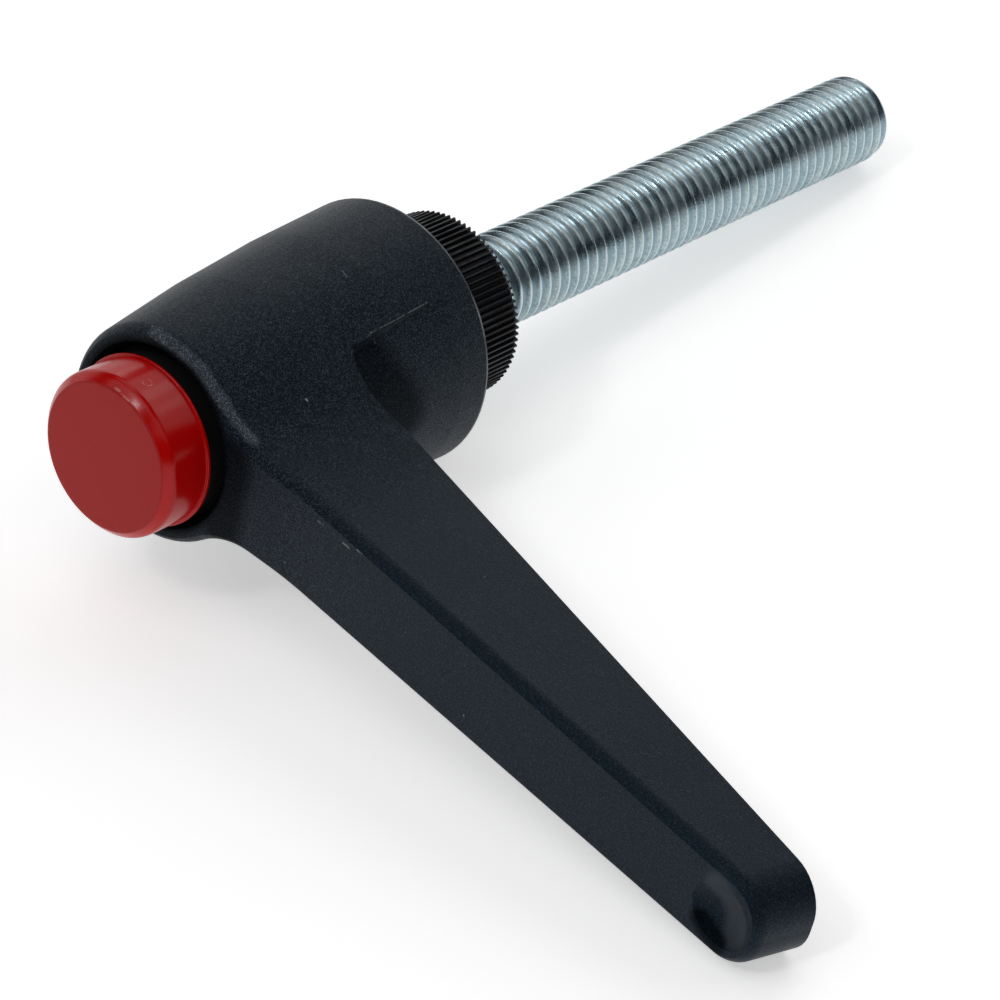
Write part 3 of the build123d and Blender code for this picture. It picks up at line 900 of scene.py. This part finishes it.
class CLAMP_OT_inside(Operator):
    """Builds the return spring and finishes the screw and the washer"""

    bl_idname = "clamp.inside"
    bl_label = "Inner pieces"

    def execute(self, context):
        look = context.scene.clamp_spring
        spring = self.coil(look)
        add_piece(spring, "handle", self.steel(*WIRE_STEEL), "spring_steel", "return_spring")
        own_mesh(spring)
        finish_cad("retaining_screw", self.steel(*SCREW_STEEL))
        finish_cad("thrust_washer", self.steel(*WASHER_STEEL))
        return {"FINISHED"}

    def coil(self, look):
        """A coil of round wire with its ends cut level."""
        turn = np.linspace(0, look.turns * 2 * pi, round(look.turns * look.steps) + 1)[:, None]
        around = np.arange(look.sides) * 2 * pi / look.sides
        lead = (look.top - look.foot_highlight) / (look.turns * 2 * pi)
        slope = np.arctan2(lead, look.mean_radius)
        reach = look.mean_radius + look.wire / 2 * np.cos(around)
        sideways = look.wire / 2 * np.sin(around)
        swing = -sideways * np.sin(slope)
        heights = look.foot_highlight + lead * turn + sideways * np.cos(slope)
        corners = np.stack(
            [
                reach * np.cos(turn) - swing * np.sin(turn),
                reach * np.sin(turn) + swing * np.cos(turn),
                np.clip(heights, look.foot_highlight, look.top),
            ],
            axis=-1,
        ).reshape(-1, 3)
        faces = grid_faces(len(turn), look.sides, closed=True)
        faces.append(tuple(range(look.sides)))
        faces.append(tuple(reversed(range(len(corners) - look.sides, len(corners)))))
        return mesh_piece("coil_spring", corners, faces)

    def steel(self, name, colour, roughness):
        """Steel with a fine grain and faint clouds."""
        material, tree, shader = new_material(name)
        hub = place_group(tree, "hub_place")
        grain = place_group(tree, "grain", Place=hub["Place"], Size=0.15, Cloud_Size=2.0)
        dull = (*(CLOUD_DULLING * part for part in colour[:3]), 1)
        fill_inputs(
            tree, shader, Base_Color=blend_colours(tree, grain["Cloud"], colour, dull), Metallic=1.0,
            Roughness=grade(tree, grain["Cloud"], roughness, roughness + CLOUD_ROUGHNESS),
            Normal=add_bump(tree, grain["Height"], STEEL_DEPTH),
        )
        return material


# ---- stage ----------------------------------------------------------------
LAMPS = (
    # name, azimuth and elevation in degrees, side in metres, power in watts
    ("key", -5, 49, 0.18, 2.0),
    ("low_back_left", 210, 18, 0.75, 2.1),
    ("low_left_back", 240, 18, 0.75, 1.5),
    ("low_left", 270, 18, 0.75, 1.7),
    ("mid_camera", 45, 42, 0.75, 1.1),
    ("mid_right", 75, 42, 0.75, 0.55),
    ("mid_right_back", 135, 42, 0.75, 1.3),
    ("mid_back", 168, 45, 0.75, 1.8),
    ("mid_back_left", 195, 42, 0.75, 1.75),
    ("mid_front_left", 322, 48, 0.75, 1.7),
    ("high_front", 0, 68, 0.75, 1.9),
    ("high_left", 240, 68, 0.75, 1.75),
)
FLOOR_COLOUR = (0.92, 0.92, 0.92, 1)
FLOOR_ROUGHNESS = 0.8
WHITE = (1, 1, 1, 1)


class StageLook(PropertyGroup):
    """Floor, light and camera."""

    camera_place: FloatVectorProperty(
        name="Camera place", description="Where the camera stands",
        default=(0.27896, 0.19491, 0.23103), subtype="TRANSLATION", unit="LENGTH",
    )
    camera_azimuth: FloatProperty(
        name="Camera azimuth", description="Direction the camera stands in, from +X",
        default=radians(39.258), subtype="ANGLE",
    )
    camera_elevation: FloatProperty(
        name="Camera elevation", description="How steeply the camera looks down",
        default=radians(34.51), subtype="ANGLE",
    )
    camera_roll: FloatProperty(
        name="Camera roll", description="Tilt of the camera about its own view",
        default=radians(1.70), subtype="ANGLE",
    )
    lens: FloatProperty(
        name="Lens", description="Focal length on a 36 mm sensor", default=151.2, min=20.0, unit="CAMERA",
    )
    surround: FloatProperty(name="Surround", description="Brightness all round", default=0.0, min=0.0)
    lamp_distance: FloatProperty(
        name="Lamp distance", description="From the stage's middle", default=1.4, unit="LENGTH",
    )
    floor_glow: FloatProperty(
        name="Floor glow", description="Light that comes through the floor", default=0.50,
    )
    floor_reach: FloatProperty(
        name="Floor reach", description="Half the floor's side", default=3.0, unit="LENGTH",
    )


class CLAMP_OT_stage(Operator):
    """Sets the floor, the soft lights and the camera"""

    bl_idname = "clamp.stage"
    bl_label = "Stage"

    def execute(self, context):
        look = context.scene.clamp_stage
        self.add_floor(context, look)
        world = bpy.data.worlds.new("studio")
        world.use_nodes = True
        backdrop = world.node_tree.nodes["Background"]
        fill_inputs(world.node_tree, backdrop, Color=WHITE, Strength=look.surround)
        context.scene.world = world
        context.scene.view_settings.view_transform = "Standard"
        for lamp in LAMPS:
            self.add_lamp(context, look, *lamp)
        self.add_camera(context, look)
        return {"FINISHED"}

    def add_floor(self, context, look):
        """A plain pale floor."""
        reach = look.floor_reach
        corners = [(-reach, -reach, 0), (reach, -reach, 0), (reach, reach, 0), (-reach, reach, 0)]
        mesh = bpy.data.meshes.new("floor")
        mesh.from_pydata(corners, [], [(0, 1, 2, 3)])
        floor = bpy.data.objects.new("floor", mesh)
        context.scene.collection.objects.link(floor)
        material, tree, shader = new_material("pale_floor")
        fill_inputs(
            tree, shader, Base_Color=FLOOR_COLOUR, Roughness=FLOOR_ROUGHNESS,
            Emission_Color=WHITE, Emission_Strength=look.floor_glow,
        )
        mesh.materials.append(material)

    def add_lamp(self, context, look, name, azimuth, elevation, side, power):
        """A soft square lamp that faces the middle of the stage."""
        lamp = bpy.data.lights.new(name, "AREA")
        lamp.size = side
        lamp.energy = power
        holder = bpy.data.objects.new(name, lamp)
        aim = self.aim(radians(azimuth), radians(elevation))
        holder.matrix_world = aim.to_4x4() @ Matrix.Translation((0, 0, look.lamp_distance))
        context.scene.collection.objects.link(holder)

    def add_camera(self, context, look):
        """The camera, level with the horizon but for its roll."""
        camera = bpy.data.cameras.new("camera")
        camera.lens = look.lens
        camera.clip_start = 0.01
        holder = bpy.data.objects.new("camera", camera)
        aim = self.aim(look.camera_azimuth, look.camera_elevation)
        roll = Matrix.Rotation(look.camera_roll, 3, "Z")
        holder.matrix_world = Matrix.Translation(look.camera_place) @ (aim @ roll).to_4x4()
        context.scene.collection.objects.link(holder)
        context.scene.camera = holder

    def aim(self, azimuth, elevation):
        """The turn of a lamp or camera that stands in a direction and looks back along it."""
        return Euler((pi / 2 - elevation, 0, pi / 2 + azimuth)).to_matrix()


# ---- panel and start ------------------------------------------------------
OPERATORS = (CLAMP_OT_lever, CLAMP_OT_button, CLAMP_OT_boss, CLAMP_OT_stud, CLAMP_OT_inside, CLAMP_OT_stage)
SETTINGS = {
    "clamp_lever": LeverLook,
    "clamp_button": ButtonLook,
    "clamp_boss": BossLook,
    "clamp_stud": StudLook,
    "clamp_spring": SpringLook,
    "clamp_stage": StageLook,
}


class CLAMP_PT_panel(Panel):
    """Lists the steps and their sizes and colours"""

    bl_idname = "CLAMP_PT_panel"
    bl_label = "Clamping lever"
    bl_space_type = "VIEW_3D"
    bl_region_type = "UI"
    bl_category = "Clamping lever"

    def draw(self, context):
        for operator in OPERATORS:
            self.layout.operator(operator.bl_idname)
        for name, group in SETTINGS.items():
            box = self.layout.box()
            for field in group.__annotations__:
                box.prop(getattr(context.scene, name), field)


def register():
    """Registers the settings, the operators and the panel."""
    for item in (*SETTINGS.values(), *OPERATORS, CLAMP_PT_panel):
        bpy.utils.register_class(item)
    for name, group in SETTINGS.items():
        setattr(bpy.types.Scene, name, PointerProperty(type=group))


def unregister():
    """Takes away what register adds."""
    for name in SETTINGS:
        delattr(bpy.types.Scene, name)
    for item in reversed((*SETTINGS.values(), *OPERATORS, CLAMP_PT_panel)):
        bpy.utils.unregister_class(item)


def main():
    """Builds everything in order."""
    register()
    build_groups()
    bpy.ops.clamp.lever()
    bpy.ops.clamp.button()
    bpy.ops.clamp.boss()
    bpy.ops.clamp.stud()
    bpy.ops.clamp.inside()
    bpy.ops.clamp.stage()


if __name__ == "__main__":
    main()
